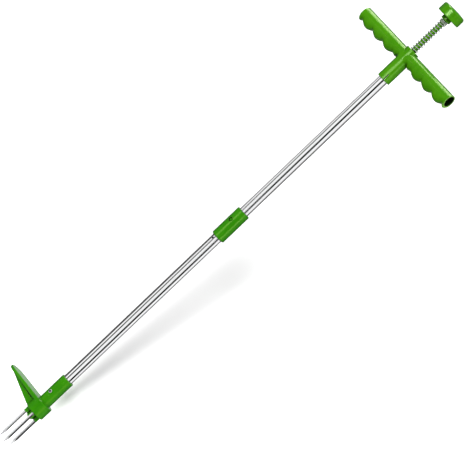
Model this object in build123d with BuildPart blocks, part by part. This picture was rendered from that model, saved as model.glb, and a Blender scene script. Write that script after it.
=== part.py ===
from build123d import *

import os
from math import atan2, cos, degrees, hypot, pi, radians, sin, sqrt

os.makedirs("parts", exist_ok=True)

# Stand-up weeder: three tines under a foot pedal, a long two-piece shaft and a
# T-handle with a sprung plunger that pushes an ejector down over the tines.
# Millimetres, +Z up along the shaft, origin on the shaft axis at the level of
# the tine points. The foot pedal points to -X and the T-handle lies along X.

# ---- overall and fits ------------------------------------------------------
TOTAL_H = 1000.0
FIT = 0.02  # radial clearance of pins, rods and tines in their holes
END_GAP = 0.1  # axial gap where one piece stops against another

# ---- tines -----------------------------------------------------------------
PRONG_AZIMUTHS = {"prong_pedal_side": 180, "prong_right": -60, "prong_left": 60}
FIRST_AZ = 60  # start angle of everything that repeats with the tines
PRONG_R = 3.0
PRONG_CIRCLE_R = 12.8
PRONG_TIP_L = 15.5  # four flats ground over this length
PRONG_TIP_HALF = 0.42
PRONG_TOP_Z = 87.4

# ---- shaft tubes -----------------------------------------------------------
TUBE_R = 9.0
TUBE_WALL = 0.8
TUBE_IN_R = TUBE_R - TUBE_WALL
BORE_R = TUBE_R + 0.04  # moulded bores that hold the tubes
TUBE_SEAT_Z = 94.0  # floor of the pedal head's socket
LOWER_TUBE_Z0, LOWER_TUBE_Z1 = TUBE_SEAT_Z + END_GAP, 503.4
UPPER_TUBE_Z0, UPPER_TUBE_Z1 = 505.6, 897.4
PEG_HOLE_Z = 470.9
PEG_HOLE_R = 1.7

# ---- rivets and button, set square to the shaft ----------------------------
RIVET_AZ = -95.0  # side of the shaft with the head rivet and the button
HANDLE_RIVET_AZ = RIVET_AZ + 180
HEAD_RIVET_Z = 111.3
HANDLE_RIVET_Z = 864.0
RIVET_R = 1.6
RIVET_HOLE_R = RIVET_R + 0.03
MANDREL_R = 0.95
BUTTON_Z = 512.2
BUTTON_R = 3.3
DRILL_START_R = 6.0  # radial holes start this far from the shaft axis

# ---- inner rods and their cross pins ---------------------------------------
INNER_R = 4.0  # steel inner rods
INNER_WALL = 1.0
INNER_PLUG_R = INNER_R - INNER_WALL - FIT  # solid ends that fit inside them
LOWER_ROD_Z0, LOWER_ROD_Z1 = 80.0, 448.0
JOINER_R = 5.6
JOINER_Z0, JOINER_Z1 = 430.0, 470.0
STUD_R = 2.5
UPPER_ROD_Z0 = JOINER_Z1 + END_GAP
PIN_R = 1.25
PLUNGER_PIN_R = 1.0
EJECT_PIN_Z, JOINER_PIN_Z, PLUNGER_PIN_Z = 94.0, 439.0, 822.0
CROSS_DRILL_HALF = 10.0  # cross holes run this far either side of the axis

# ---- plunger and hub levels ------------------------------------------------
ROD_R = 4.6
SPIGOT_Z0 = 808.0
ROD_SHOULDER_Z = 835.0
ROD_TOP_Z = 992.0
NECK_Z0, NECK_Z1 = 975.8, 981.6
HUB_R = 12.2
HUB_Z0, HUB_Z1 = 840.7, 906.5


def radial(azimuth, z, reach=DRILL_START_R):
    """Plane square to a radius of the shaft, facing outwards."""
    c, s = cos(radians(azimuth)), sin(radians(azimuth))
    return Plane(origin=(reach * c, reach * s, z), x_dir=(-s, c, 0), z_dir=(c, s, 0))


def outward(azimuth, z):
    """Axis that runs outwards from the shaft."""
    return Axis((0, 0, z), (cos(radians(azimuth)), sin(radians(azimuth)), 0))


def across(z, x, facing=1):
    """Plane square to X, centred over the shaft's XZ plane at height z."""
    return Plane(origin=(x, 0, z), x_dir=(0, 1, 0), z_dir=(facing, 0, 0))


def ring_edges(builder, radius):
    """Circular edges of one radius."""
    circles = builder.edges().filter_by(GeomType.CIRCLE)
    return circles.filter_by(lambda e: abs(e.radius - radius) < 0.01)


# ---------------------------------------------------------------------------
# Pedal head: collar, tube socket, foot plate, two gussets and crossed ribs
# ---------------------------------------------------------------------------
COLLAR_R = 17.6
COLLAR_Z0, COLLAR_Z1 = 67.5, 90.3
SOCKET_R = 11.6
SOCKET_Z1 = 143.5
EJECT_HOLE_R = 7.3
PEDAL_LEN = 89.5
PEDAL_W = 34.0
PEDAL_TOP_Z = 90.0
PEDAL_ROOT_Z = PEDAL_TOP_Z - 7.0  # underside next to the collar
PEDAL_TIP_Z = PEDAL_TOP_Z - 4.6  # underside at the tip
PEDAL_BLANK_T = 10.0
RIB_HALF_Y = 9.0
RIB_RUN_X = 60.0
RIB_MID_X = -44.0
RIB_T = 1.6
RIB_BLANK_Z0 = 60.0
GUSSET_OUT_Y = RIB_HALF_Y + 1.0  # outer face
GUSSET_T = 2.4
GUSSET_END_X = -77.0
GROOVE_DEPTH = 1.6
GROOVE_OUT_Y = 12.5

# Side views, points (x, z)
PLATE_SIDE = (
    (1.0, PEDAL_TOP_Z), (1.0, PEDAL_ROOT_Z), (-14.0, PEDAL_ROOT_Z),
    (-PEDAL_LEN - 1, PEDAL_TIP_Z), (-PEDAL_LEN - 1, PEDAL_TOP_Z),
)
RIB_SIDE = (
    (-14.0, 69.0), (-17.2, 69.0), (GUSSET_END_X, 85.2),
    (GUSSET_END_X, 86.0), (-14.0, 86.0),
)
GUSSET_SIDE = (
    (-10.0, 68.6), (-16.6, 68.2), (GUSSET_END_X, 84.3),
    (GUSSET_END_X, 85.4), (-10.0, 85.4),
)
GROOVE_SIDE = (
    (-17.4, PEDAL_ROOT_Z), (-17.4, PEDAL_ROOT_Z - 3.6),
    (-68.0, PEDAL_TOP_Z - 5.35), (-68.0, PEDAL_TOP_Z - 5.2),
)


def make_foot_plate():
    """Round-ended plate, level on top and thinner towards the tip."""
    run = PEDAL_LEN - PEDAL_W / 2
    with BuildPart() as plate:
        with BuildSketch(Plane.XY.offset(PEDAL_TOP_Z - PEDAL_BLANK_T)):
            with Locations((-run / 2, 0)):
                Rectangle(run, PEDAL_W)
            with Locations((-run, 0)):
                Circle(PEDAL_W / 2)
        extrude(amount=PEDAL_BLANK_T)
        with BuildSketch(Plane.XZ.offset(-PEDAL_W)):
            with BuildLine():
                Polyline(*PLATE_SIDE, close=True)
            make_face()
        extrude(amount=2 * PEDAL_W, mode=Mode.INTERSECT)
        on_top = plate.edges().filter_by(lambda e: abs(e.center().Z - PEDAL_TOP_Z) < 0.01)
        fillet(on_top.filter_by(lambda e: e.center().X < -1), 1.6)
        under = plate.faces().filter_by(GeomType.PLANE).filter_by(
            lambda f: f.center().X < -30 and f.normal_at().Z < -0.9
        )[0]
        fillet(under.edges().filter_by(lambda e: e.center().X < -20), 1.5)
    return plate.part


def make_cross_ribs():
    """Two crossed ribs, cut back to the sloping line of the gussets."""
    rib_run_y = 2 * (RIB_HALF_Y - 0.4)
    angle = degrees(atan2(rib_run_y, RIB_RUN_X))
    with BuildPart() as ribs:
        with BuildSketch(Plane.XY.offset(RIB_BLANK_Z0)):
            for sign in (1, -1):
                with Locations(Location((RIB_MID_X, 0, 0), (0, 0, sign * angle))):
                    Rectangle(hypot(RIB_RUN_X, rib_run_y), RIB_T)
        extrude(amount=PEDAL_TIP_Z + 0.8 - RIB_BLANK_Z0)
        with BuildSketch(Plane.XZ.offset(-RIB_HALF_Y)):
            with BuildLine():
                Polyline(*RIB_SIDE, close=True)
            make_face()
        extrude(amount=2 * RIB_HALF_Y, mode=Mode.INTERSECT)
    return ribs.part


def make_pedal_head():
    foot_plate = make_foot_plate()
    cross_ribs = make_cross_ribs()
    with BuildPart() as head:
        with BuildSketch(Plane.XY.offset(COLLAR_Z0)):
            Circle(COLLAR_R)
        extrude(amount=COLLAR_Z1 - COLLAR_Z0)
        fillet(head.edges().group_by(Axis.Z)[0], 1.2)
        fillet(head.edges().group_by(Axis.Z)[-1], 2.2)
        with BuildSketch(Plane.XY.offset(COLLAR_Z1 - 1)):
            Circle(SOCKET_R)
        extrude(amount=SOCKET_Z1 - COLLAR_Z1 + 1)
        chamfer(head.edges().group_by(Axis.Z)[-1], 0.6)
        root_ring = ring_edges(head, SOCKET_R).filter_by(
            lambda e: abs(e.center().Z - COLLAR_Z1) < 0.01
        )
        fillet(root_ring, 1.6)
        add(foot_plate)
        # XZ planes face -Y, so each side piece grows from its +Y face
        for y_face in (GUSSET_OUT_Y, GUSSET_T - GUSSET_OUT_Y):
            with BuildSketch(Plane.XZ.offset(-y_face)):
                with BuildLine():
                    Polyline(*GUSSET_SIDE, close=True)
                make_face()
            extrude(amount=GUSSET_T)
        add(cross_ribs)
        # long tapering recess under the plate, outside each gusset
        groove_in_y = GUSSET_OUT_Y - GROOVE_DEPTH
        for y_face in (GROOVE_OUT_Y, -groove_in_y):
            with BuildSketch(Plane.XZ.offset(-y_face)):
                with BuildLine():
                    Polyline(*GROOVE_SIDE, close=True)
                make_face()
            extrude(amount=GROOVE_OUT_Y - groove_in_y, mode=Mode.SUBTRACT)
        # guide hole for the ejector, seat for the lower tube
        with BuildSketch(Plane.XY.offset(COLLAR_Z0 - 5)):
            Circle(EJECT_HOLE_R)
        extrude(amount=TUBE_SEAT_Z - COLLAR_Z0 + 10, mode=Mode.SUBTRACT)
        with BuildSketch(Plane.XY.offset(TUBE_SEAT_Z)):
            Circle(BORE_R)
        extrude(amount=SOCKET_Z1 - TUBE_SEAT_Z + 5, mode=Mode.SUBTRACT)
        # blind holes that hold the three tines
        with BuildSketch(Plane.XY.offset(COLLAR_Z0 - 5)):
            with PolarLocations(PRONG_CIRCLE_R, 3, start_angle=FIRST_AZ):
                Circle(PRONG_R + FIT)
        extrude(amount=PRONG_TOP_Z + END_GAP - COLLAR_Z0 + 5, mode=Mode.SUBTRACT)
        with BuildSketch(radial(RIVET_AZ, HEAD_RIVET_Z)):
            Circle(RIVET_HOLE_R)
        extrude(amount=10, mode=Mode.SUBTRACT)
    return head.part


# ---------------------------------------------------------------------------
# Steel tine: a round rod with four flats ground to a long point
# ---------------------------------------------------------------------------
def make_prong(azimuth):
    x = PRONG_CIRCLE_R * cos(radians(azimuth))
    y = PRONG_CIRCLE_R * sin(radians(azimuth))
    full_side = 2 * PRONG_R + 0.1  # square that clears the round rod
    # sections of the grinding envelope: (z, side of the square)
    sections = (
        (0.0, 2 * PRONG_TIP_HALF),
        (PRONG_TIP_L, full_side),
        (PRONG_TOP_Z + 1, full_side),
    )
    with BuildPart() as prong:
        with BuildSketch(Plane.XY):
            with Locations((x, y)):
                Circle(PRONG_R)
        extrude(amount=PRONG_TOP_Z)
        chamfer(prong.edges().group_by(Axis.Z)[-1], 0.5)
        for z, side in sections:
            with BuildSketch(Plane.XY.offset(z)):
                with Locations(Location((x, y, 0), (0, 0, azimuth + 45))):
                    Rectangle(side, side)
        loft(ruled=True, mode=Mode.INTERSECT)
    return prong.part


# ---------------------------------------------------------------------------
# Ejector: three open forks that ride on the tines, webbed stem, round boss
# ---------------------------------------------------------------------------
FORK_Z0, FORK_Z1 = 57.6, 66.9
FORK_SLOT_R = PRONG_R + 0.10
FORK_HALF_W = 4.9
FORK_OUT = PRONG_CIRCLE_R + 1.3
EJECT_CORE_R = 3.4
EJECT_CORE_Z0 = 54.6
EJECT_BOSS_Z0, EJECT_BOSS_Z1 = 73.5, 104.0
EJECT_BOSS_R = 7.2
WEB_R = 7.0
WEB_T = 3.4
FORK_IN = WEB_R - 2
# wedge turned off the foot of the stem, points (radius, z)
FOOT_BEVEL = ((3.0, 50.0), (3.0, EJECT_CORE_Z0), (9.0, EJECT_CORE_Z0 + 4.2), (9.0, 50.0))


def make_ejector():
    with BuildPart() as ejector:
        with BuildSketch(Plane.XY.offset(FORK_Z0)):
            with PolarLocations((FORK_IN + FORK_OUT) / 2, 3, start_angle=FIRST_AZ):
                RectangleRounded(FORK_OUT - FORK_IN, 2 * FORK_HALF_W, 1.2)
        extrude(amount=FORK_Z1 - FORK_Z0)
        # three-legged stem with a bevelled foot
        with BuildSketch(Plane.XY.offset(EJECT_CORE_Z0)):
            Circle(EJECT_CORE_R)
            with PolarLocations(WEB_R / 2, 3, start_angle=FIRST_AZ):
                Rectangle(WEB_R, WEB_T)
        extrude(amount=EJECT_BOSS_Z0 - EJECT_CORE_Z0 + 1)
        with BuildSketch(Plane.XY.offset(EJECT_BOSS_Z0)):
            Circle(EJECT_BOSS_R)
        extrude(amount=EJECT_BOSS_Z1 - EJECT_BOSS_Z0)
        chamfer(ejector.edges().group_by(Axis.Z)[-1], 0.8)
        with BuildSketch(Plane.XZ):
            with BuildLine():
                Polyline(*FOOT_BEVEL, close=True)
            make_face()
        revolve(axis=Axis.Z, mode=Mode.SUBTRACT)
        # slots for the tines
        with BuildSketch(Plane.XY.offset(EJECT_CORE_Z0 - 2)):
            with PolarLocations(PRONG_CIRCLE_R, 3, start_angle=FIRST_AZ):
                Circle(FORK_SLOT_R)
        extrude(amount=EJECT_BOSS_Z0 - EJECT_CORE_Z0 - 2, mode=Mode.SUBTRACT)
        # blind socket for the lower inner rod and its cross pin
        with BuildSketch(Plane.XY.offset(LOWER_ROD_Z0 - END_GAP)):
            Circle(INNER_R + FIT)
        extrude(amount=40, mode=Mode.SUBTRACT)
        with BuildSketch(across(EJECT_PIN_Z, -CROSS_DRILL_HALF)):
            Circle(PIN_R + FIT)
        extrude(amount=2 * CROSS_DRILL_HALF, mode=Mode.SUBTRACT)
    return ejector.part


# ---------------------------------------------------------------------------
# Pipes and cross pins
# ---------------------------------------------------------------------------
def make_pipe(radius, wall, z0, z1, holes):
    """Upright pipe with side holes, each given as (plane, radius, depth)."""
    with BuildPart() as pipe:
        with BuildSketch(Plane.XY.offset(z0)):
            Circle(radius)
            Circle(radius - wall, mode=Mode.SUBTRACT)
        extrude(amount=z1 - z0)
        for plane, hole_r, depth in holes:
            with BuildSketch(plane):
                Circle(hole_r)
            extrude(amount=depth, mode=Mode.SUBTRACT)
    return pipe.part


def pin_hole(z, pin_r):
    """Hole right through along X, as make_pipe takes it."""
    return across(z, -CROSS_DRILL_HALF), pin_r + FIT, 2 * CROSS_DRILL_HALF


def wall_hole(azimuth, z, radius):
    """Hole through one wall of a shaft tube, as make_pipe takes it."""
    return radial(azimuth, z), radius, 8


def make_cross_pin(z, radius, half_length):
    with BuildPart() as pin:
        with BuildSketch(across(z, -half_length)):
            Circle(radius)
        extrude(amount=2 * half_length)
    return pin.part


# ---------------------------------------------------------------------------
# Joiner of the inner rods, and the turned end of the upper rod inside it
# ---------------------------------------------------------------------------
def make_rod_joiner():
    with BuildPart() as joiner:
        with BuildSketch(Plane.XY.offset(JOINER_Z0)):
            Circle(JOINER_R)
        extrude(amount=JOINER_Z1 - JOINER_Z0)
        chamfer(joiner.edges().group_by(Axis.Z)[-1], 0.8)
        chamfer(joiner.edges().group_by(Axis.Z)[0], 0.8)
        with BuildSketch(Plane.XY.offset(JOINER_Z0 - 1)):
            Circle(INNER_R + FIT)
        extrude(amount=LOWER_ROD_Z1 + END_GAP - JOINER_Z0 + 1, mode=Mode.SUBTRACT)
        with BuildSketch(Plane.XY.offset(451.0)):
            Circle(STUD_R + FIT)
        extrude(amount=30, mode=Mode.SUBTRACT)
        with BuildSketch(across(JOINER_PIN_Z, -CROSS_DRILL_HALF)):
            Circle(PIN_R + FIT)
        extrude(amount=2 * CROSS_DRILL_HALF, mode=Mode.SUBTRACT)
    return joiner.part


def make_rod_end_stud():
    stud_z0 = 452.0
    with BuildPart() as stud:
        with BuildSketch(Plane.XY.offset(stud_z0)):
            Circle(STUD_R)
        extrude(amount=UPPER_ROD_Z0 - stud_z0)
        chamfer(stud.edges().group_by(Axis.Z)[0], 0.7)
        with BuildSketch(Plane.XY.offset(UPPER_ROD_Z0)):
            Circle(INNER_PLUG_R)
        extrude(amount=20)
    return stud.part


# ---------------------------------------------------------------------------
# Plunger: rod with a spigot, push knob, return spring
# ---------------------------------------------------------------------------
KNOB_R = 21.5
CROWN_H = 1.8
NECK_R = 9.0
SPRING_WIRE = 1.8
SPRING_MEAN_R = 6.1
SPRING_PITCH = 5.2


def make_plunger_rod():
    with BuildPart() as rod:
        with BuildSketch(Plane.XY.offset(SPIGOT_Z0)):
            Circle(INNER_PLUG_R)
        extrude(amount=ROD_SHOULDER_Z - SPIGOT_Z0)
        chamfer(rod.edges().group_by(Axis.Z)[0], 0.6)
        with BuildSketch(Plane.XY.offset(ROD_SHOULDER_Z)):
            Circle(ROD_R)
        extrude(amount=ROD_TOP_Z - ROD_SHOULDER_Z)
        chamfer(rod.edges().group_by(Axis.Z)[-1], 0.6)
        with BuildSketch(across(PLUNGER_PIN_Z, -CROSS_DRILL_HALF)):
            Circle(PLUNGER_PIN_R + FIT)
        extrude(amount=2 * CROSS_DRILL_HALF, mode=Mode.SUBTRACT)
    return rod.part


def make_plunger_knob():
    """Short neck, thick round disc with a soft shoulder and a low crown."""
    crown_r = (KNOB_R**2 + CROWN_H**2) / (2 * CROWN_H)
    half_r = KNOB_R / 2
    half_z = TOTAL_H - (crown_r - sqrt(crown_r**2 - half_r**2))
    crown_edge = (KNOB_R, TOTAL_H - CROWN_H)
    with BuildPart() as knob:
        with BuildSketch(Plane.XZ):
            with BuildLine():
                Polyline(
                    (0, TOTAL_H), (0, NECK_Z0), (NECK_R - 0.8, NECK_Z0),
                    (NECK_R, NECK_Z0 + 0.8), (NECK_R - 0.5, NECK_Z1),
                    (KNOB_R, NECK_Z1), crown_edge,
                )
                ThreePointArc(crown_edge, (half_r, half_z), (0, TOTAL_H))
            make_face()
        revolve(axis=Axis.Z)
        # upper rim, then lower rim
        for level, rounding in ((-1, 4.2), (0, 1.4)):
            fillet(ring_edges(knob, KNOB_R).group_by(Axis.Z)[level], rounding)
        with BuildSketch(Plane.XY.offset(NECK_Z0 - 1)):
            Circle(ROD_R + FIT)
        extrude(amount=ROD_TOP_Z + END_GAP - NECK_Z0 + 1, mode=Mode.SUBTRACT)
    return knob.part


def make_return_spring():
    """Open coil between the handle's hub and the knob's neck."""
    inset = SPRING_WIRE / 2 + 0.05
    z0, z1 = HUB_Z1 + inset, NECK_Z0 - inset
    with BuildPart() as spring:
        with BuildLine():
            coil = Helix(
                pitch=SPRING_PITCH, height=z1 - z0, radius=SPRING_MEAN_R, center=(0, 0, z0)
            )
        with BuildSketch(Plane(origin=coil @ 0, z_dir=coil % 0)):
            Circle(SPRING_WIRE / 2)
        sweep(is_frenet=True)
    return spring.part


# ---------------------------------------------------------------------------
# Coupling: sleeve with an inner stop rib, locking button, leaf and rod bush
# ---------------------------------------------------------------------------
COUP_R = 12.3
COUP_Z0, COUP_Z1 = 475.8, 534.4
COUP_RIB_Z0, COUP_RIB_Z1 = 503.6, 505.4
COUP_RIB_R = 7.6
BUTTON_BASE = 7.36  # distances from the shaft axis
BUTTON_TOP = 11.2
LEAF_BASE = 6.85


def make_coupling_sleeve():
    with BuildPart() as sleeve:
        with BuildSketch(Plane.XY.offset(COUP_Z0)):
            Circle(COUP_R)
        extrude(amount=COUP_Z1 - COUP_Z0)
        chamfer(sleeve.edges().group_by(Axis.Z)[0], 1.6)
        fillet(sleeve.edges().group_by(Axis.Z)[-1], 1.4)
        # bores below and above the rib, then the hole through it: (z0, z1, radius)
        for z0, z1, bore_r in (
            (COUP_Z0 - 1, COUP_RIB_Z0, BORE_R),
            (COUP_RIB_Z1, COUP_Z1 + 1, BORE_R),
            (COUP_RIB_Z0 - 1, COUP_RIB_Z1 + 1, COUP_RIB_R),
        ):
            with BuildSketch(Plane.XY.offset(z0)):
                Circle(bore_r)
            extrude(amount=z1 - z0, mode=Mode.SUBTRACT)
        # button window
        with BuildSketch(radial(RIVET_AZ, BUTTON_Z)):
            Circle(BUTTON_R + 0.4)
        extrude(amount=10, mode=Mode.SUBTRACT)
    return sleeve.part


def make_snap_button():
    """Button that locks the upper tube in the coupling, riveted to its leaf."""
    with BuildPart() as button:
        with BuildSketch(radial(RIVET_AZ, BUTTON_Z, BUTTON_BASE)):
            Circle(BUTTON_R)
        extrude(amount=BUTTON_TOP - BUTTON_BASE)
        fillet(button.edges().sort_by(outward(RIVET_AZ, BUTTON_Z))[-1], 1.6)
        # stem through the leaf, then its head: (reach, radius, length)
        for reach, radius, length in ((6.6, 1.5, 0.9), (6.47, 2.2, 0.36)):
            with BuildSketch(radial(RIVET_AZ, BUTTON_Z, reach)):
                Circle(radius)
            extrude(amount=length)
    return button.part


def make_button_leaf_spring():
    with BuildPart() as leaf:
        with BuildSketch(radial(RIVET_AZ, BUTTON_Z + 14.0, LEAF_BASE)):
            RectangleRounded(6.4, 40.0, 2.0)
        extrude(amount=0.5)
        with BuildSketch(radial(RIVET_AZ, BUTTON_Z)):
            Circle(1.55)
        extrude(amount=2, mode=Mode.SUBTRACT)
    return leaf.part


def make_rod_guide_bush():
    """Bush that keeps the inner rod in the middle of the shaft."""
    with BuildPart() as bush:
        with BuildSketch(Plane.XY.offset(489.0)):
            Circle(TUBE_IN_R - 0.03)
            Circle(INNER_R + 0.10, mode=Mode.SUBTRACT)
        extrude(amount=12.0)
    return bush.part


# ---------------------------------------------------------------------------
# T-handle: split hub sleeve and two hollow grips with three finger swells
# ---------------------------------------------------------------------------
HANDLE_Z = 892.0
HANDLE_HALF_L = 110.5
HANDLE_RY, HANDLE_RZ = 11.8, 12.2
GRIP_BORE_R = 9.6
GRIP_BORE_Z = 892.8
GRIP_BORE_X0 = 17.5
ROD_HOLE_R = 4.70
SLIT_W, SLIT_Z1 = 1.5, 853.0
BUMP_PITCH = 26.6
BUMP_X = [37.6 + i * BUMP_PITCH for i in range(3)]
SWELL_X0, SWELL_X1 = BUMP_X[0] - BUMP_PITCH / 2, BUMP_X[-1] + BUMP_PITCH / 2
# depths below the grip's centre line
BUMP_H = 15.6
VALLEY_H = 10.6
INNER_VALLEY_H = VALLEY_H + 0.75  # on the hub side of the first swell
OUTER_VALLEY_H = VALLEY_H + 0.3  # beyond the last swell
VALLEY_SOFTNESS = 0.03  # rounds the bottom of the valleys

# grip sections, as distances from the shaft
SECTION_STEPS = (-BUMP_PITCH / 2, -11.0, -7.5, -3.8, 0.0, 3.8, 7.5, 11.0)  # about a swell
GRIP_STATIONS = [
    2.0, 9.0, 16.0, 20.5,
    *(centre + step for centre in BUMP_X for step in SECTION_STEPS),
    SWELL_X1, BUMP_X[-1] + 16.0, HANDLE_HALF_L,
]


def ease_to_round(valley, t):
    """Depth that goes smoothly from a valley at t = 0 to the plain grip at t = 1."""
    t = min(1.0, t)
    return valley + (HANDLE_RZ - valley) * t * t * (3 - 2 * t)


def underside(x):
    """Depth of the grip below its centre line at a distance x from the shaft."""
    if x <= SWELL_X0:
        return ease_to_round(INNER_VALLEY_H, (SWELL_X0 - x) / 8.0)
    if x >= SWELL_X1:
        return ease_to_round(OUTER_VALLEY_H, (x - SWELL_X1) / 5.0)
    c = cos(pi * (x - BUMP_X[0]) / BUMP_PITCH)
    floor = sqrt(VALLEY_SOFTNESS)
    wave = (sqrt(c * c + VALLEY_SOFTNESS) - floor) / (sqrt(1 + VALLEY_SOFTNESS) - floor)
    low = VALLEY_H
    if x < BUMP_X[0]:
        low = INNER_VALLEY_H
    if x > BUMP_X[-1]:
        low = OUTER_VALLEY_H
    return low + (BUMP_H - low) * wave


def make_grip_half():
    """Solid grip on the +X side."""
    with BuildPart() as grip:
        for x in GRIP_STATIONS:
            with BuildSketch(across(HANDLE_Z, x)):
                with BuildLine():
                    EllipticalCenterArc(
                        (0, 0), HANDLE_RY, HANDLE_RZ, start_angle=0, arc_size=180
                    )
                    EllipticalCenterArc(
                        (0, 0), HANDLE_RY, underside(x), start_angle=180, arc_size=180
                    )
                make_face()
        loft()
    return grip.part


def make_t_handle():
    grip = make_grip_half()
    with BuildPart() as handle:
        with BuildSketch(Plane.XY.offset(HUB_Z0)):
            Circle(HUB_R)
        extrude(amount=HUB_Z1 - HUB_Z0)
        chamfer(handle.edges().group_by(Axis.Z)[-1], 0.6)
        chamfer(handle.edges().group_by(Axis.Z)[0], 0.6)
        add(grip)
        add(mirror(grip, about=Plane.YZ, mode=Mode.PRIVATE))
        # bore for the upper tube, then the plunger rod's hole
        with BuildSketch(Plane.XY.offset(HUB_Z0 - 5)):
            Circle(BORE_R)
        extrude(amount=UPPER_TUBE_Z1 + END_GAP - HUB_Z0 + 5, mode=Mode.SUBTRACT)
        with BuildSketch(Plane.XY.offset(HUB_Z0)):
            Circle(ROD_HOLE_R)
        extrude(amount=HUB_Z1 - HUB_Z0 + 5, mode=Mode.SUBTRACT)
        for side in (1, -1):
            with BuildSketch(across(GRIP_BORE_Z, side * GRIP_BORE_X0, side)):
                Circle(GRIP_BORE_R)
            extrude(amount=HANDLE_HALF_L, mode=Mode.SUBTRACT)
        # three slits up from the hub's lower end
        with BuildSketch(Plane.XY.offset(HUB_Z0 - 2)):
            with PolarLocations(11.0, 3, start_angle=-60):
                Rectangle(6.0, SLIT_W)
        extrude(amount=SLIT_Z1 - HUB_Z0 + 2, mode=Mode.SUBTRACT)
        with BuildSketch(radial(HANDLE_RIVET_AZ, HANDLE_RIVET_Z)):
            Circle(RIVET_HOLE_R)
        extrude(amount=10, mode=Mode.SUBTRACT)
    return handle.part


# ---------------------------------------------------------------------------
# Blind rivets through the head's socket and the handle's hub
# ---------------------------------------------------------------------------
SHANK_BASE = 7.2  # distance from the shaft axis


def make_rivet(azimuth, z, seat_r):
    """Hollow rivet whose head sits on a cylinder of radius seat_r."""
    with BuildPart() as rivet:
        with BuildSketch(radial(azimuth, z, seat_r - 0.6)):
            Circle(3.1)
        extrude(amount=1.75)
        fillet(rivet.edges().sort_by(outward(azimuth, z))[-1], 0.95)
        # hollow the head's underside to the seat
        with BuildSketch(Plane.XY.offset(z - 10)):
            Circle(seat_r + 0.01)
        extrude(amount=20, mode=Mode.SUBTRACT)
        with BuildSketch(radial(azimuth, z, SHANK_BASE)):
            Circle(RIVET_R)
        extrude(amount=seat_r - SHANK_BASE + 0.4)
        # swollen inner end
        with BuildSketch(radial(azimuth, z, 6.3)):
            Circle(2.4)
        extrude(amount=1.45)
        with BuildSketch(radial(azimuth, z)):
            Circle(MANDREL_R + FIT)
        extrude(amount=12, mode=Mode.SUBTRACT)
    return rivet.part


def make_mandrel(azimuth, z):
    """Stem left inside a rivet, with its head at the inner end."""
    with BuildPart() as mandrel:
        for reach, radius, length in ((6.25, MANDREL_R, 3.4), (5.5, 1.7, 0.77)):
            with BuildSketch(radial(azimuth, z, reach)):
                Circle(radius)
            extrude(amount=length)
    return mandrel.part


# ---------------------------------------------------------------------------
# All pieces, one file each
# ---------------------------------------------------------------------------
pieces = {"pedal_head": make_pedal_head()}
for name, azimuth in PRONG_AZIMUTHS.items():
    pieces[name] = make_prong(azimuth)
pieces |= {
    "ejector": make_ejector(),
    "ejector_pin": make_cross_pin(EJECT_PIN_Z, PIN_R, half_length=6.6),
    "lower_inner_rod": make_pipe(
        INNER_R, INNER_WALL, LOWER_ROD_Z0, LOWER_ROD_Z1,
        holes=[pin_hole(EJECT_PIN_Z, PIN_R), pin_hole(JOINER_PIN_Z, PIN_R)],
    ),
    "rod_joiner": make_rod_joiner(),
    "joiner_pin": make_cross_pin(JOINER_PIN_Z, PIN_R, half_length=5.4),
    "rod_end_stud": make_rod_end_stud(),
    "upper_inner_rod": make_pipe(
        INNER_R, INNER_WALL, UPPER_ROD_Z0, ROD_SHOULDER_Z - END_GAP,
        holes=[pin_hole(PLUNGER_PIN_Z, PLUNGER_PIN_R)],
    ),
    "plunger_rod": make_plunger_rod(),
    "plunger_pin": make_cross_pin(PLUNGER_PIN_Z, PLUNGER_PIN_R, half_length=3.9),
    "plunger_knob": make_plunger_knob(),
    "return_spring": make_return_spring(),
    # the second hole lies just below the coupling
    "lower_tube": make_pipe(
        TUBE_R, TUBE_WALL, LOWER_TUBE_Z0, LOWER_TUBE_Z1,
        holes=[
            wall_hole(RIVET_AZ, HEAD_RIVET_Z, RIVET_HOLE_R),
            wall_hole(RIVET_AZ, PEG_HOLE_Z, PEG_HOLE_R),
        ],
    ),
    "upper_tube": make_pipe(
        TUBE_R, TUBE_WALL, UPPER_TUBE_Z0, UPPER_TUBE_Z1,
        holes=[
            wall_hole(RIVET_AZ, BUTTON_Z, BUTTON_R + 0.15),
            wall_hole(HANDLE_RIVET_AZ, HANDLE_RIVET_Z, RIVET_HOLE_R),
        ],
    ),
    "coupling_sleeve": make_coupling_sleeve(),
    "snap_button": make_snap_button(),
    "button_leaf_spring": make_button_leaf_spring(),
    "rod_guide_bush": make_rod_guide_bush(),
    "t_handle": make_t_handle(),
}
for name, azimuth, z, seat_r in (
    ("head_rivet", RIVET_AZ, HEAD_RIVET_Z, SOCKET_R),
    ("handle_rivet", HANDLE_RIVET_AZ, HANDLE_RIVET_Z, HUB_R),
):
    pieces[name] = make_rivet(azimuth, z, seat_r)
    pieces[name + "_mandrel"] = make_mandrel(azimuth, z)

for name, piece in pieces.items():
    piece.label = name
    export_step(piece, f"parts/{name}.step")
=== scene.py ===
# Pedal tool with three prongs, a polished tubular shaft and a T-handle.
# The shaft stands along Z through the origin, prongs lowest; the handle's grips run along X.
# The camera looks from -Y, and a pale sheet stands behind the tool on the +Y side.
# Sizes are in metres unless a name says otherwise.
import math

import bpy
from mathutils import Matrix, Vector


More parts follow.
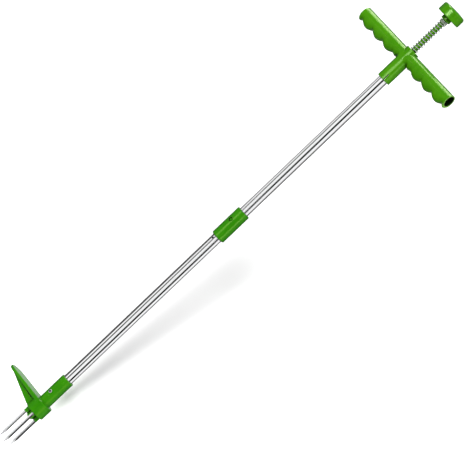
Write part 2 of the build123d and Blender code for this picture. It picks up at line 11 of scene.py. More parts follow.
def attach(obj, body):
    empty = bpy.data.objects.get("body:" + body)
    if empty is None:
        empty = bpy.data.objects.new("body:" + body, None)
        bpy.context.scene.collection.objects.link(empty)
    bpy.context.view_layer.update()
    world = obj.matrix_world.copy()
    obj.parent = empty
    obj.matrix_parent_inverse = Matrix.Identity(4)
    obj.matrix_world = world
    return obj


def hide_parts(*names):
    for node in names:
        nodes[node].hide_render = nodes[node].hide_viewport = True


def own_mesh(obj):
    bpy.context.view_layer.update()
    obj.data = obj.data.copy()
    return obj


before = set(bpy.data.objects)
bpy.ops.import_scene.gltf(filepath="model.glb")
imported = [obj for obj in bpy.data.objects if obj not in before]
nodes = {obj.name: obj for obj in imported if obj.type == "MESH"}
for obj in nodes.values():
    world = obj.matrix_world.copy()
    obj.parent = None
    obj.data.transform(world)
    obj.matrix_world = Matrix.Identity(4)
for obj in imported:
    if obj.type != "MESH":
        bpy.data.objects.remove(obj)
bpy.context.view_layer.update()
scene = bpy.context.scene


# ---------------------------------------------------------------------------
# Helpers
# ---------------------------------------------------------------------------


class Tree:
    """A thin layer over a node tree: most calls add a node and return its output."""

    def __init__(self, owner):
        owner.use_nodes = True
        self.tree = owner.node_tree
        self.tree.nodes.clear()
        self.x = 0

    def node(self, kind, inputs=None, **props):
        """Add a node; inputs maps socket names or numbers to values or to other outputs."""
        made = self.tree.nodes.new(kind)
        self.x += 180
        made.location = (self.x, -(self.x % 540))
        for key, value in props.items():
            setattr(made, key, value)
        for key, value in (inputs or {}).items():
            if isinstance(value, bpy.types.NodeSocket):
                self.tree.links.new(value, made.inputs[key])
            else:
                made.inputs[key].default_value = value
        return made

    def math(self, operation, *values):
        return self.node("ShaderNodeMath", dict(enumerate(values)), operation=operation).outputs[0]

    def add(self, a, b):
        return self.math("ADD", a, b)

    def sub(self, a, b):
        return self.math("SUBTRACT", a, b)

    def mul(self, a, b):
        return self.math("MULTIPLY", a, b)

    def hypotenuse(self, a, b):
        return self.math("SQRT", self.add(self.mul(a, a), self.mul(b, b)))

    def dot(self, a, b):
        made = self.node("ShaderNodeVectorMath", {0: a, 1: b}, operation="DOT_PRODUCT")
        return made.outputs["Value"]

    def mix(self, factor, a, b):
        """Colour a where factor is 0, b where it is 1."""
        return self.node("ShaderNodeMix", {0: factor, 6: a, 7: b}, data_type="RGBA").outputs[2]

    def mix_value(self, factor, a, b):
        return self.node("ShaderNodeMix", {0: factor, 2: a, 3: b}, data_type="FLOAT").outputs[0]

    def remap(self, value, span, to=(0.0, 1.0), smooth=False):
        """Carry the range span onto the range to, clamped at both ends."""
        made = self.node("ShaderNodeMapRange", dict(enumerate((value, *span, *to))))
        made.interpolation_type = "SMOOTHSTEP" if smooth else "LINEAR"
        return made.outputs[0]

    def stretch(self, vector, scale, rotation=(0, 0, 0)):
        inputs = {"Vector": vector, "Scale": scale, "Rotation": rotation}
        return self.node("ShaderNodeMapping", inputs).outputs[0]

    def noise(self, vector, scale=1.0, detail=2.0, rough=0.5, distort=0.0):
        inputs = {
            "Vector": vector, "Scale": scale, "Detail": detail,
            "Roughness": rough, "Distortion": distort,
        }
        return self.node("ShaderNodeTexNoise", inputs).outputs["Fac"]

    def split(self, vector):
        return self.node("ShaderNodeSeparateXYZ", {0: vector}).outputs

    def coords(self, kind="Object"):
        return self.node("ShaderNodeTexCoord").outputs[kind]

    def geometry(self, kind):
        return self.node("ShaderNodeNewGeometry").outputs[kind]

    def openness(self, distance):
        """Ambient occlusion: low in corners narrower than distance."""
        inputs = {"Distance": distance}
        return self.node("ShaderNodeAmbientOcclusion", inputs, samples=6).outputs["AO"]

    def rounded(self, radius):
        """Normal with every sharp edge eased by a small radius."""
        return self.node("ShaderNodeBevel", {"Radius": radius}, samples=6).outputs[0]

    def bump(self, height, distance, normal):
        inputs = {"Height": height, "Distance": distance, "Strength": 1.0, "Normal": normal}
        return self.node("ShaderNodeBump", inputs).outputs[0]

    def principled(self, inputs):
        return self.node("ShaderNodeBsdfPrincipled", inputs).outputs[0]

    def finish(self, shader, kind="ShaderNodeOutputMaterial"):
        self.node(kind, {"Surface": shader})


def new_material(name):
    material = bpy.data.materials.new(name)
    return material, Tree(material)


def add_object(name, data):
    made = bpy.data.objects.new(name, data)
    scene.collection.objects.link(made)
    return made


def new_mesh(name, verts, faces):
    mesh = bpy.data.meshes.new(name)
    mesh.from_pydata(verts, [], faces)
    return mesh


def point_along(item, direction):
    """Turn a light so that it shines along direction."""
    item.rotation_mode = "QUATERNION"
    item.rotation_quaternion = direction.to_track_quat("-Z", "Y")


def linear(r, g, b):
    """8-bit display values to the linear values a shader takes."""
    shares = [value / 255.0 for value in (r, g, b)]
    return (*(c / 12.92 if c <= 0.04045 else ((c + 0.055) / 1.055) ** 2.4 for c in shares), 1.0)


def dimmed(colour, factor):
    return tuple(c * factor for c in colour[:3]) + (1.0,)


# ---------------------------------------------------------------------------
# Moulded plastics
# ---------------------------------------------------------------------------
PLASTIC_EASING = 0.0007  # radius that softens the edges
PLASTIC_GRAIN = 0.000010  # height of the satin grain
PLASTIC_SPECULAR = 0.14


def scuffs(t, where):
    """Fine scuffs in two directions, gathered in patches."""
    first = t.noise(t.stretch(where, scale=(30.0, 900.0, 240.0), rotation=(0.3, 0.2, 0.9)))
    second = t.noise(t.stretch(where, scale=(700.0, 40.0, 320.0), rotation=(0.7, -0.4, 0.2)))
    lines = t.math(
        "MAXIMUM", t.remap(first, span=(0.66, 0.74)), t.remap(second, span=(0.68, 0.75))
    )
    return t.mul(lines, t.remap(t.noise(where, scale=18.0), span=(0.45, 0.65)))


def worn_and_highlit_edges(t, where, soft_normal):
    """Rubbed edges with a painted highlight along them, found where the eased normal departs from
    the plain one.
    """
    edge = t.sub(1.0, t.dot(soft_normal, t.geometry("Normal")))
    patches = t.noise(where, scale=130.0, detail=3.0, rough=0.6)
    return t.mul(
        t.remap(edge, span=(0.01, 0.10)), t.remap(patches, span=(0.35, 0.70), to=(0.26, 0.66))
    )


def turned_away(t):
    """How far the surface turns from the eye, leaving out faces that look straight up."""
    turn = t.node("ShaderNodeLayerWeight", {"Blend": 0.5}).outputs["Facing"]
    upward = t.remap(t.split(t.geometry("Normal"))[2], span=(0.93, 0.985))
    return t.mul(turn, t.sub(1.0, upward))


def paint_bore_shade_and_rim_highlight(t, colour, deep, light, cloud, height, radius, rim_x):
    """Paint shade into a bore along X at this height, and a pale highlight on the cut rim round
    its mouth.
    """
    geometry = t.node("ShaderNodeNewGeometry").outputs
    x, y, z = t.split(geometry["Position"])
    away = t.hypotenuse(y, t.sub(z, height))
    past = t.remap(t.math("ABSOLUTE", x), span=(rim_x, rim_x + 0.0006))
    endways = t.math("ABSOLUTE", t.split(geometry["Normal"])[0])
    rim = t.mul(past, t.remap(endways, span=(0.35, 0.8)))
    rim_highlight = t.remap(cloud, span=(0.3, 0.7), to=(0.30, 0.52))
    colour = t.mix(t.mul(rim, rim_highlight), colour, light)
    wall = t.remap(away, span=(radius, radius + 0.0002), to=(0.97, 0.0))
    return t.mix(wall, colour, dimmed(deep, 0.06))


def plastic(name, deep, body, light, rough=0.24, bore=None):
    """Moulded polypropylene: flow shading, satin grain, eased edges, scuffs, rubbed edges with a
    painted highlight, and painted shade in corners, in bores and where the surface turns away.
    """
    material, t = new_material(name)
    where = t.coords()
    soft_normal = t.rounded(PLASTIC_EASING)
    cloud = t.noise(where, scale=34.0, detail=3.0)
    flow_place = t.stretch(where, scale=(1.0, 1.0, 0.22))
    flow = t.noise(flow_place, scale=210.0, detail=4.0, rough=0.55, distort=0.6)
    speck = t.noise(where, scale=1500.0, rough=0.6)
    scuff = scuffs(t, where)
    wear_and_edge_highlight = worn_and_highlit_edges(t, where, soft_normal)
    facing = turned_away(t)

    # clouds and flow marks set the tone; specks and scuffs are paler, and edges are paler for wear
    # and a painted highlight
    tone = t.add(t.mul(cloud, 0.62), t.mul(flow, 0.38))
    colour = t.mix(t.remap(tone, span=(0.32, 0.68)), deep, body)
    colour = t.mix(t.remap(speck, span=(0.62, 0.85), to=(0.0, 0.10)), colour, light)
    colour = t.mix(wear_and_edge_highlight, colour, light)
    colour = t.mix(t.mul(scuff, 0.10), colour, light)
    # painted shade: darker in corners, and a deeper colour where the surface turns away from the
    # eye
    shade = dimmed(deep, 0.42)
    corner_shade = t.remap(t.openness(distance=0.004), span=(0.25, 0.86), to=(0.86, 0.0))
    colour = t.mix(corner_shade, colour, shade)
    colour = t.mix(t.remap(facing, span=(0.32, 0.86), to=(0.0, 0.80)), colour, shade)
    # the insides of bores and slots lose their light
    inside = t.remap(t.openness(distance=0.035), span=(0.18, 0.74), to=(0.96, 0.0))
    colour = t.mix(inside, colour, dimmed(deep, 0.10))
    if bore is not None:
        colour = paint_bore_shade_and_rim_highlight(t, colour, deep, light, cloud, **bore)

    # clouds vary the gloss, and scuffs and wear dull it
    roughness = t.add(rough - 0.05, t.mul(cloud, 0.10))
    roughness = t.add(roughness, t.mul(scuff, 0.16))
    roughness = t.add(roughness, t.mul(wear_and_edge_highlight, 0.2))
    # specks and flow marks stand up, and scuffs cut in
    height = t.add(t.mul(speck, 0.6), t.mul(flow, 1.4))
    height = t.sub(height, t.mul(scuff, 0.5))
    specular = t.remap(facing, span=(0.55, 0.86), to=(PLASTIC_SPECULAR, PLASTIC_SPECULAR * 0.12))
    t.finish(t.principled({
        "Base Color": colour,
        "Roughness": roughness,
        "IOR": 1.47,
        "Specular IOR Level": specular,
        "Specular Tint": (0.72, 1.0, 0.52, 1.0),
        "Normal": t.bump(height, distance=PLASTIC_GRAIN, normal=soft_normal),
    }))
    return material


# ---------------------------------------------------------------------------
# Metals
# ---------------------------------------------------------------------------
# stretches of the fine and the broad lines: round the part if turned, else along it
TURNED_LINES = ((60.0, 60.0, 3600.0), (30.0, 30.0, 900.0))
DRAWN_LINES = ((3600.0, 3600.0, 26.0), (620.0, 620.0, 5.0))


def long_scratches(t, where):
    """A few longer scratches, slightly askew, gathered in patches."""
    place = t.stretch(where, scale=(1500.0, 1500.0, 60.0), rotation=(0.05, 0.11, 0.3))
    lines = t.remap(t.noise(place, detail=1.0), span=(0.70, 0.76))
    return t.mul(lines, t.remap(t.noise(where, scale=25.0), span=(0.5, 0.7)))


def paint_pit_shade(t, colour, smudge, azimuth, height, radius):
    """Paint shade inside radius of a horizontal axis at this azimuth in degrees from +X."""
    angle = math.radians(azimuth)
    place = t.node(
        "ShaderNodeVectorMath",
        {0: t.geometry("Position"), 1: (0.0, 0.0, height)},
        operation="SUBTRACT",
    ).outputs["Vector"]
    across = t.dot(place, (-math.sin(angle), math.cos(angle), 0.0))
    rise = t.dot(place, (0.0, 0.0, 1.0))
    # the smudges make the outline slightly uneven
    away = t.add(t.hypotenuse(across, rise), t.mul(t.sub(smudge, 0.5), 0.0004))
    pit_shade = t.remap(away, span=(radius * 0.94, radius * 1.06), to=(0.96, 0.0))
    return t.mix(pit_shade, colour, (0.02, 0.02, 0.02, 1.0))


def metal(
    name, colour, rough, lines=1.0, line_height=0.0000035, stain=None, stain_amount=0.0,
    easing=0.00015, turned=False, pit_shade=None,
):
    """Metal with the fine lines of drawing or turning, smudges and a few scratches."""
    material, t = new_material(name)
    where = t.coords()
    fine_scale, broad_scale = TURNED_LINES if turned else DRAWN_LINES
    fine = t.noise(t.stretch(where, scale=fine_scale), rough=0.6)
    broad = t.noise(t.stretch(where, scale=broad_scale))
    smudge = t.noise(where, scale=42.0, detail=4.0, rough=0.6, distort=0.8)
    scratch = long_scratches(t, where)

    # broad lines are duller, stains come in spots, and painted shade darkens the corners
    streak = t.remap(broad, span=(0.35, 0.7), to=(0.0, 0.55))
    tint = t.mix(streak, colour, dimmed(colour, 0.82))
    if stain is not None:
        spots = t.noise(where, scale=170.0, detail=5.0, rough=0.65, distort=0.5)
        tint = t.mix(t.remap(spots, span=(0.56, 0.72), to=(0.0, stain_amount)), tint, stain)
    corner_shade = t.remap(t.openness(distance=0.003), span=(0.25, 0.75), to=(0.95, 0.0))
    tint = t.mix(corner_shade, tint, dimmed(colour, 0.10))
    if pit_shade is not None:
        tint = paint_pit_shade(t, tint, smudge, **pit_shade)

    # smudges and fine lines vary the polish, and scratches dull it
    roughness = t.add(rough, t.mul(t.sub(smudge, 0.5), rough * 0.9))
    roughness = t.add(roughness, t.mul(t.sub(fine, 0.5), rough * 0.8 * lines))
    roughness = t.add(roughness, t.mul(scratch, 0.12))
    # lines stand up, broad ones twice as high, and scratches cut in
    height = t.add(t.mul(fine, lines), t.mul(broad, lines * 2.0))
    height = t.sub(height, t.mul(scratch, 1.2))
    t.finish(t.principled({
        "Base Color": tint,
        "Metallic": 1.0,
        "Roughness": t.math("MAXIMUM", roughness, 0.03),
        "Normal": t.bump(height, distance=line_height, normal=t.rounded(easing)),
    }))
    return material


# ---------------------------------------------------------------------------
# The materials, and the pieces that wear them
# ---------------------------------------------------------------------------
GREEN_DEEP = linear(56, 128, 2)
GREEN = linear(72, 144, 4)
GREEN_LIGHT = linear(158, 212, 100)
HANDLE_BORE = dict(height=0.8928, radius=0.0097, rim_x=0.1088)
# the head rivet's hollow centre, where shade is painted into the aluminium
HEAD_RIVET_PIT = dict(azimuth=-95.0, height=0.1113, radius=0.0021)

green = plastic("moulded_green", GREEN_DEEP, GREEN, GREEN_LIGHT)
handle_green = plastic(
    "moulded_green_handle", GREEN_DEEP, GREEN, GREEN_LIGHT, bore=HANDLE_BORE
)
head_green = plastic(
    "moulded_green_head", deep=linear(38, 122, 2), body=linear(54, 138, 4), light=GREEN_LIGHT
)
natural = plastic(
    "moulded_natural", deep=linear(176, 172, 158), body=linear(206, 203, 192),
    light=linear(232, 230, 222), rough=0.36,
)
tube_steel = metal(
    "polished_tube_steel", colour=(0.93, 0.93, 0.94, 1.0), rough=0.075,
    lines=0.8, line_height=0.0000012,
)
tine_steel = metal(
    "ground_tine_steel", colour=(0.80, 0.80, 0.81, 1.0), rough=0.12, line_height=0.0000013,
    stain=linear(118, 108, 96), stain_amount=0.35, turned=True,
)
rod_steel = metal(
    "plated_rod_steel", colour=(0.70, 0.70, 0.71, 1.0), rough=0.22,
    stain=linear(120, 116, 108), stain_amount=0.3,
)
# green tint: painted reflection of the green plastic round and inside the spring
spring_steel = metal(
    "spring_wire_steel", colour=(0.74, 0.81, 0.72, 1.0), rough=0.20, line_height=0.000003,
    stain=linear(96, 92, 88), stain_amount=0.3, easing=0.0001,
)
aluminium = metal(
    "rivet_aluminium", colour=(0.80, 0.81, 0.82, 1.0), rough=0.30,
    stain=linear(150, 150, 148), stain_amount=0.3, pit_shade=HEAD_RIVET_PIT,
)
# near black: painted shade standing in for the dark hollow at the rivets' centres
mandrel = metal(
    "mandrel_steel", colour=(0.045, 0.043, 0.04, 1.0), rough=0.55,
    stain=linear(52, 42, 34), stain_amount=0.4,
)

LOOKS = (
    (head_green, ("pedal_head", "ejector", "coupling_sleeve")),
    (handle_green, ("t_handle",)),
    (green, ("plunger_rod", "plunger_knob")),
    (natural, ("rod_joiner", "rod_guide_bush")),
    (tine_steel, ("prong_pedal_side", "prong_right", "prong_left")),
    (tube_steel, ("lower_tube", "upper_tube")),
    (rod_steel, ("lower_inner_rod", "upper_inner_rod", "rod_end_stud")),
    (rod_steel, ("ejector_pin", "joiner_pin", "plunger_pin")),
    (spring_steel, ("return_spring", "button_leaf_spring")),
    (head_green, ("snap_button",)),
    (aluminium, ("head_rivet", "handle_rivet")),
    (mandrel, ("head_rivet_mandrel", "handle_rivet_mandrel")),
)
for material, names in LOOKS:
    for name in names:
        nodes[name].data.materials.clear()
        nodes[name].data.materials.append(material)

# ---------------------------------------------------------------------------
# Return spring, wound round by round with closed end coils
# ---------------------------------------------------------------------------
SPRING_BOTTOM = 0.9065
SPRING_TOP = 0.9758
WIRE_RADIUS = 0.0009
COIL_RADIUS = 0.0061
END_GAP = 0.00003  # clearance at each end
CLOSED_PITCH = 0.00184
ACTIVE_PITCH_AIM = 0.00536  # active turns are rounded to quarters, so the pitch comes close
TOP_CLOSED, BOTTOM_CLOSED = 2.75, 0.75  # closed turns
PITCH_BLEND = 0.22  # turns on either side of a pitch change over which it happens
WIRE_START = math.radians(20)
STEPS_PER_TURN, WIRE_SIDES = 44, 14


def turns_past(turn):
    """Turns since a pitch change, eased in: the integral of a smoothstep."""
    ease = min(1.0, max(0.0, (turn + PITCH_BLEND) / (2 * PITCH_BLEND)))
    return 2 * PITCH_BLEND * (ease**3 - ease**4 / 2) + max(0.0, turn - PITCH_BLEND)


def spring_mesh():
    low = SPRING_BOTTOM + WIRE_RADIUS + END_GAP
    high = SPRING_TOP - WIRE_RADIUS - END_GAP
    active_height = high - low - (TOP_CLOSED + BOTTOM_CLOSED) * CLOSED_PITCH
    active_turns = round(active_height / ACTIVE_PITCH_AIM * 4) / 4
    active_pitch = active_height / active_turns
    turns = TOP_CLOSED + BOTTOM_CLOSED + active_turns
    steps = int(turns * STEPS_PER_TURN)

    def climb(turn):
        """Height gained after this many turns."""
        active = turns_past(turn - BOTTOM_CLOSED) - turns_past(turn - turns + TOP_CLOSED)
        return turn * CLOSED_PITCH + (active_pitch - CLOSED_PITCH) * active

    total = climb(turns)
    verts, faces = [], []
    for i in range(steps + 1):
        turn = turns * i / steps
        angle = WIRE_START + 2 * math.pi * turn
        cos, sin = math.cos(angle), math.sin(angle)
        z = low + climb(turn) * (high - low) / total
        rise = climb(min(turns, turn + 0.01)) - climb(max(0.0, turn - 0.01))
        slope = rise / 0.02 / (2 * math.pi)
        centre = Vector((COIL_RADIUS * cos, COIL_RADIUS * sin, z))
        along = Vector((-COIL_RADIUS * sin, COIL_RADIUS * cos, slope)).normalized()
        outward = Vector((cos, sin, 0.0))
        upward = along.cross(outward).normalized()
        for k in range(WIRE_SIDES):
            a = 2 * math.pi * k / WIRE_SIDES
            across = outward * (WIRE_RADIUS * math.cos(a))
            verts.append(tuple(centre + across + upward * (WIRE_RADIUS * math.sin(a))))
    for i in range(steps):
        for k in range(WIRE_SIDES):
            a, b = i * WIRE_SIDES + k, i * WIRE_SIDES + (k + 1) % WIRE_SIDES
            faces.append((a, b, b + WIRE_SIDES, a + WIRE_SIDES))
    last = steps * WIRE_SIDES
    faces.append(tuple(reversed(range(WIRE_SIDES))))
    faces.append(tuple(range(last, last + WIRE_SIDES)))
    mesh = new_mesh("wound_return_spring", verts, faces)
    mesh.update()
    for polygon in mesh.polygons:
        polygon.use_smooth = len(polygon.vertices) == 4  # the end caps stay flat
    return mesh


spring = add_object("wound_return_spring", spring_mesh())
spring.data.materials.append(spring_steel)
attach(spring, "shaft_and_handle")
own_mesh(spring)
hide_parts("return_spring")

# ---------------------------------------------------------------------------
# Camera: a long lens level with the handle, rolled so the shaft runs up to the right
# ---------------------------------------------------------------------------
AZIMUTH = math.radians(29.0)  # from -Y towards +X
DISTANCE = 5.2
EYE_Z, AIM_Z = 0.930, 0.5082
SHAFT_ANGLE = math.radians(43.61)  # of the shaft above the picture's horizontal, before roll 90
SIDE_SHIFT = 0.0021

eye = Vector((DISTANCE * math.sin(AZIMUTH), -DISTANCE * math.cos(AZIMUTH), EYE_Z))
forward = (Vector((0, 0, AIM_Z)) - eye).normalized()
# level and upright are the camera's right and up before it is rolled
level = forward.cross(Vector((0, 0, 1))).normalized()
upright = level.cross(forward)
right = level * math.sin(SHAFT_ANGLE) + upright * math.cos(SHAFT_ANGLE)
up = upright * math.sin(SHAFT_ANGLE) - level * math.cos(SHAFT_ANGLE)
eye_at = eye + level * SIDE_SHIFT

camera_data = bpy.data.cameras.new("camera")
camera_data.sensor_fit = "HORIZONTAL"
camera_data.sensor_width = 36.0
camera_data.lens = 252.37
camera_data.clip_start = 0.1
camera_data.clip_end = 100.0
camera = add_object("camera", camera_data)
camera.matrix_world = Matrix((
    (right.x, up.x, -forward.x, eye_at.x),
    (right.y, up.y, -forward.y, eye_at.y),
    (right.z, up.z, -forward.z, eye_at.z),
    (0, 0, 0, 1),
))
scene.camera = camera

# Lights are placed by azimuth in degrees: 0 towards the camera, positive towards level
TO_CAMERA = -Vector((forward.x, forward.y, 0)).normalized()
TO_SIDE = Vector((level.x, level.y, 0)).normalized()


def toward(azimuth):
    angle = math.radians(azimuth)
    return TO_CAMERA * math.cos(angle) + TO_SIDE * math.sin(angle)


# ---------------------------------------------------------------------------
# Floor: a sheet behind the tool, nearest at the bend and falling away above and below
# ---------------------------------------------------------------------------
FLOOR_NEAR_Y, BEND_Z = 0.0430, 0.100
SLOPE_ABOVE, SLOPE_BELOW = 0.325, 0.22
BEND_EASE = 0.03
FLOOR_HALF_WIDTH = 4.0
FLOOR_LEVELS = [-3.0, -1.0, -0.3] + [i * 0.01 for i in range(-2, 24)] + [0.4, 1.0, 2.0, 4.0]


def floor_sheet():
    verts = []
    for z in FLOOR_LEVELS:
        run = z - BEND_Z
        slope = SLOPE_ABOVE if run > 0 else SLOPE_BELOW
        y = FLOOR_NEAR_Y + slope * (math.sqrt(run * run + BEND_EASE**2) - BEND_EASE)
        verts += [(-FLOOR_HALF_WIDTH, y, z), (FLOOR_HALF_WIDTH, y, z)]
    faces = [(2 * i, 2 * i + 1, 2 * i + 3, 2 * i + 2) for i in range(len(FLOOR_LEVELS) - 1)]
    mesh = new_mesh("floor", verts, faces)
    for polygon in mesh.polygons:
        polygon.use_smooth = True
    return mesh


def floor_material():
    """Matt pale sheet, see-through from behind."""
    material, t = new_material("pale_floor")
    where = t.coords()
    tone = t.noise(where, scale=3.0, detail=3.0)
    # a little glow under the head and the handle washes the shadow out there
    z = t.split(where)[2]
    low_glow = t.remap(z, span=(0.04, 0.21), to=(0.34, 0.0), smooth=True)
    high_glow = t.remap(z, span=(0.42, 0.60), to=(0.0, 0.30), smooth=True)
    head_glow = t.remap(z, span=(0.060, 0.122), to=(0.66, 0.0), smooth=True)
    sheet = t.principled({
        "Base Color": t.mix(tone, (0.865, 0.865, 0.865, 1.0), (0.885, 0.885, 0.885, 1.0)),
        "Roughness": 0.9,
        "Specular IOR Level": 0.0,
        "Emission Color": (1.0, 1.0, 1.0, 1.0),
        "Emission Strength": t.add(t.add(low_glow, high_glow), head_glow),
    })
    clear = t.node("ShaderNodeBsdfTransparent").outputs[0]
    sides = {0: t.geometry("Backfacing"), 1: sheet, 2: clear}
    t.finish(t.node("ShaderNodeMixShader", sides).outputs[0])
    return material


floor = add_object("floor", floor_sheet())
floor.data.materials.append(floor_material())
floor.visible_glossy = False

# ---------------------------------------------------------------------------
# Key: one large soft sun from the front and above
# ---------------------------------------------------------------------------
key_data = bpy.data.lights.new("key", "SUN")
key_data.energy = 2.3
key_data.angle = math.radians(26.0)
key = add_object("key", key_data)
point_along(key, (Vector((0.0, 1.0, 0.0)) - level * 0.10 - upright * 0.36).normalized())
key.visible_glossy = False

# ---------------------------------------------------------------------------
# Softboxes that show only as highlights, each on its own pieces
# ---------------------------------------------------------------------------
STRIP_DISTANCE = 3.0
PALE_YELLOW = (1.0, 1.0, 0.80)
YELLOW = (1.0, 0.97, 0.50)
DEEP_YELLOW = (1.0, 0.95, 0.38)
TOP_YELLOW = (1.0, 0.97, 0.74)
SLEEVE = ("coupling_sleeve", "snap_button")
# name, azimuth and width in degrees, lowest and highest z, radiance, tone, pieces lit
STRIPS = (
    ("strip_main", -23.0, 30.0, 0.775, 1.6, 42.0, PALE_YELLOW,
     ("t_handle", "plunger_knob", "plunger_rod")),
    ("strip_knob", -26.0, 20.0, 0.900, 1.6, 22.0, PALE_YELLOW, ("plunger_knob",)),
    ("strip_right", 47.0, 15.0, 0.700, 1.3, 17.0, PALE_YELLOW, ("t_handle",)),
    ("card_spring", 0.0, 100.0, 0.600, 1.400, 0.34, PALE_YELLOW, ("return_spring",)),
    ("card_head", 42.0, 25.0, -0.600, -0.100, 9.0, DEEP_YELLOW, ("pedal_head",)),
    ("card_left", -36.0, 20.0, 0.050, 0.480, 25.0, YELLOW, SLEEVE),
    ("card_right", 48.0, 16.0, 0.050, 0.480, 24.0, YELLOW, SLEEVE),
)


def softbox(name, place, direction, width, height, radiance, tone, lit):
    """Rectangular light that only the named pieces reflect."""
    data = bpy.data.lights.new(name, "AREA")
    data.shape = "RECTANGLE"
    data.size = width
    data.size_y = height
    data.energy = radiance * math.pi * data.size * data.size_y
    data.color = tone
    light = add_object(name, data)
    light.location = place
    point_along(light, direction)
    light.visible_diffuse = False
    light.visible_camera = False
    group = bpy.data.collections.new(name + "_lights")
    for piece in lit:
        group.objects.link(spring if piece == "return_spring" else nodes[piece])
    light.light_linking.receiver_collection = group


for name, azimuth, width, z_low, z_high, radiance, tone, lit in STRIPS:
    outward = toward(azimuth)
    softbox(
        name,
        place=outward * STRIP_DISTANCE + Vector((0, 0, (z_low + z_high) / 2)),
        direction=-outward,
        width=2 * STRIP_DISTANCE * math.tan(math.radians(width / 2)),
        height=z_high - z_low,
        radiance=radiance, tone=tone, lit=lit,
    )

# overhead, for the line along the top of the grips
softbox(
    "strip_top", place=(-1.15, -0.20, 2.9), direction=Vector((1.15, 0.20, -2.0)),
    width=1.7, height=0.8, radiance=25.0, tone=TOP_YELLOW,
    lit=("t_handle", "pedal_head", "plunger_knob"),
)

# ---------------------------------------------------------------------------
# Low curved cards round the tines, seen only in reflections
# ---------------------------------------------------------------------------
CARD_RADIUS = 0.10
CARD_STEPS = 24
# name, first and last azimuth in degrees, lowest and highest z, glow
RING_CARDS = (
    ("tine_flag", -3.0, 138.0, -0.030, 0.052, 0.07),
    ("tine_card", 138.0, 357.0, -0.130, 0.052, 1.02),
    ("tip_card", -3.0, 138.0, -0.130, -0.030, 0.70),
)


def ring_card(name, az_low, az_high, z_low, z_high, glow):
    verts = []
    for i in range(CARD_STEPS + 1):
        place = toward(az_low + (az_high - az_low) * i / CARD_STEPS) * CARD_RADIUS
        verts += [(place.x, place.y, z_low), (place.x, place.y, z_high)]
    faces = [(2 * i, 2 * i + 1, 2 * i + 3, 2 * i + 2) for i in range(CARD_STEPS)]
    mesh = new_mesh(name, verts, faces)
    material, t = new_material(name)
    tone = t.noise(t.coords(), scale=6.0)
    strength = t.remap(tone, span=(0.3, 0.7), to=(glow * 0.96, glow * 1.04))
    t.finish(t.node("ShaderNodeEmission", {"Strength": strength}).outputs[0])
    mesh.materials.append(material)
    card = add_object(name, mesh)
    card.visible_camera = False
    card.visible_diffuse = False
    card.visible_shadow = False
    card.visible_transmission = False


for row in RING_CARDS:
    ring_card(*row)

# ---------------------------------------------------------------------------
# World: a white studio with dark flags that draw lines down the polished tubes.
# Directions are in degrees. The lower tube mirrors elevations below about -4.5 and the
# upper tube those above, so each flag has a place for either.
# ---------------------------------------------------------------------------
# lower tube, then upper tube: first azimuth, last azimuth, depth
WIDE_FLAGS = (
    ((-154.0, -82.0, 0.92), (-148.0, -102.0, 0.70)),
    ((106.0, 150.0, 0.92), (92.0, 150.0, 0.86)),
)
# middle azimuth for the lower tube, for the upper tube, half width, depth
NARROW_FLAGS = (
    (-38.0, -62.0, 11.0, 0.98),
    (41.0, 14.5, 17.5, 1.0),
)


def window(t, value, low, high, soft):
    """1 between low and high, 0 outside, with soft edges."""
    rise = t.remap(t.sub(value, low), span=(-soft, soft), smooth=True)
    fall = t.remap(t.sub(value, high), span=(-soft, soft), to=(1.0, 0.0), smooth=True)
    return t.mul(rise, fall)


def blend(t, share, a, b):
    """a where share is 0, b where it is 1."""
    return t.add(t.mul(t.sub(1.0, share), a), t.mul(share, b))


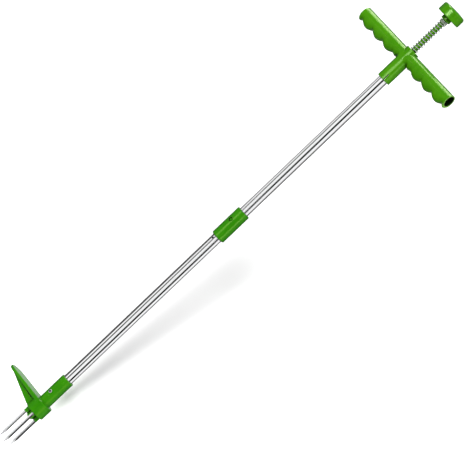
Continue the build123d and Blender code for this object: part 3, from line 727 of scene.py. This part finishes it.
def studio_brightness(t, azimuth, elevation):
    """What reflections see of the studio."""
    upper = t.remap(elevation, span=(-4.9, -4.1), smooth=True)
    bright = t.add(1.0, 0.0)
    for lower_flag, upper_flag in WIDE_FLAGS:
        first, last, depth = (blend(t, upper, a, b) for a, b in zip(lower_flag, upper_flag))
        inside = window(t, azimuth, first, last, soft=6.0)
        bright = t.mul(bright, t.sub(1.0, t.mul(inside, depth)))

    # the narrow flags lean with elevation and fade out overhead and underfoot
    drift_low = t.mul(t.add(t.math("MAXIMUM", elevation, -9.0), 6.6), -2.0)
    drift_high = t.mul(t.add(t.math("MINIMUM", elevation, 2.0), 2.5), -2.6)
    drift = blend(t, upper, drift_low, drift_high)
    for lower_middle, upper_middle, half, depth in NARROW_FLAGS:
        middle = t.add(blend(t, upper, lower_middle, upper_middle), drift)
        inside = window(t, azimuth, t.sub(middle, half), t.add(middle, half), soft=3.0)
        steepness = t.math("ABSOLUTE", elevation)
        fade = t.remap(steepness, span=(50.0, 75.0), to=(1.0, 0.0), smooth=True)
        bright = t.mul(bright, t.sub(1.0, t.mul(t.mul(inside, fade), depth)))

    # a slightly lighter ceiling, and a fall-off below that keeps undersides darker
    bright = t.add(bright, t.remap(elevation, span=(12.0, 45.0), to=(0.0, 0.10), smooth=True))
    below = t.remap(elevation, span=(-60.0, -16.0), to=(0.25, 1.0), smooth=True)
    return t.mul(bright, below)


def build_world():
    world = bpy.data.worlds.new("studio")
    scene.world = world
    t = Tree(world)
    direction = t.coords("Generated")
    along_view = t.dot(direction, tuple(TO_CAMERA))
    along_side = t.dot(direction, tuple(TO_SIDE))
    azimuth = t.mul(t.math("ARCTAN2", along_side, along_view), 180 / math.pi)
    elevation = t.mul(t.math("ARCSINE", t.split(direction)[2]), 180 / math.pi)
    # reflections see the flags, other light is plain, and the camera sees white
    studio = studio_brightness(t, azimuth, elevation)
    ambient = t.remap(elevation, span=(-60.0, 60.0), to=(0.42, 0.72))
    path = t.node("ShaderNodeLightPath").outputs
    seen = t.mix_value(path["Is Glossy Ray"], ambient, studio)
    strength = t.mix_value(path["Is Camera Ray"], seen, 1.0)
    white = {"Color": (1.0, 1.0, 1.0, 1.0), "Strength": strength}
    background = t.node("ShaderNodeBackground", white).outputs[0]
    t.finish(background, kind="ShaderNodeOutputWorld")


build_world()

scene.view_settings.view_transform = "Standard"
scene.view_settings.look = "None"
scene.view_settings.exposure = 0.0
scene.view_settings.gamma = 1.0
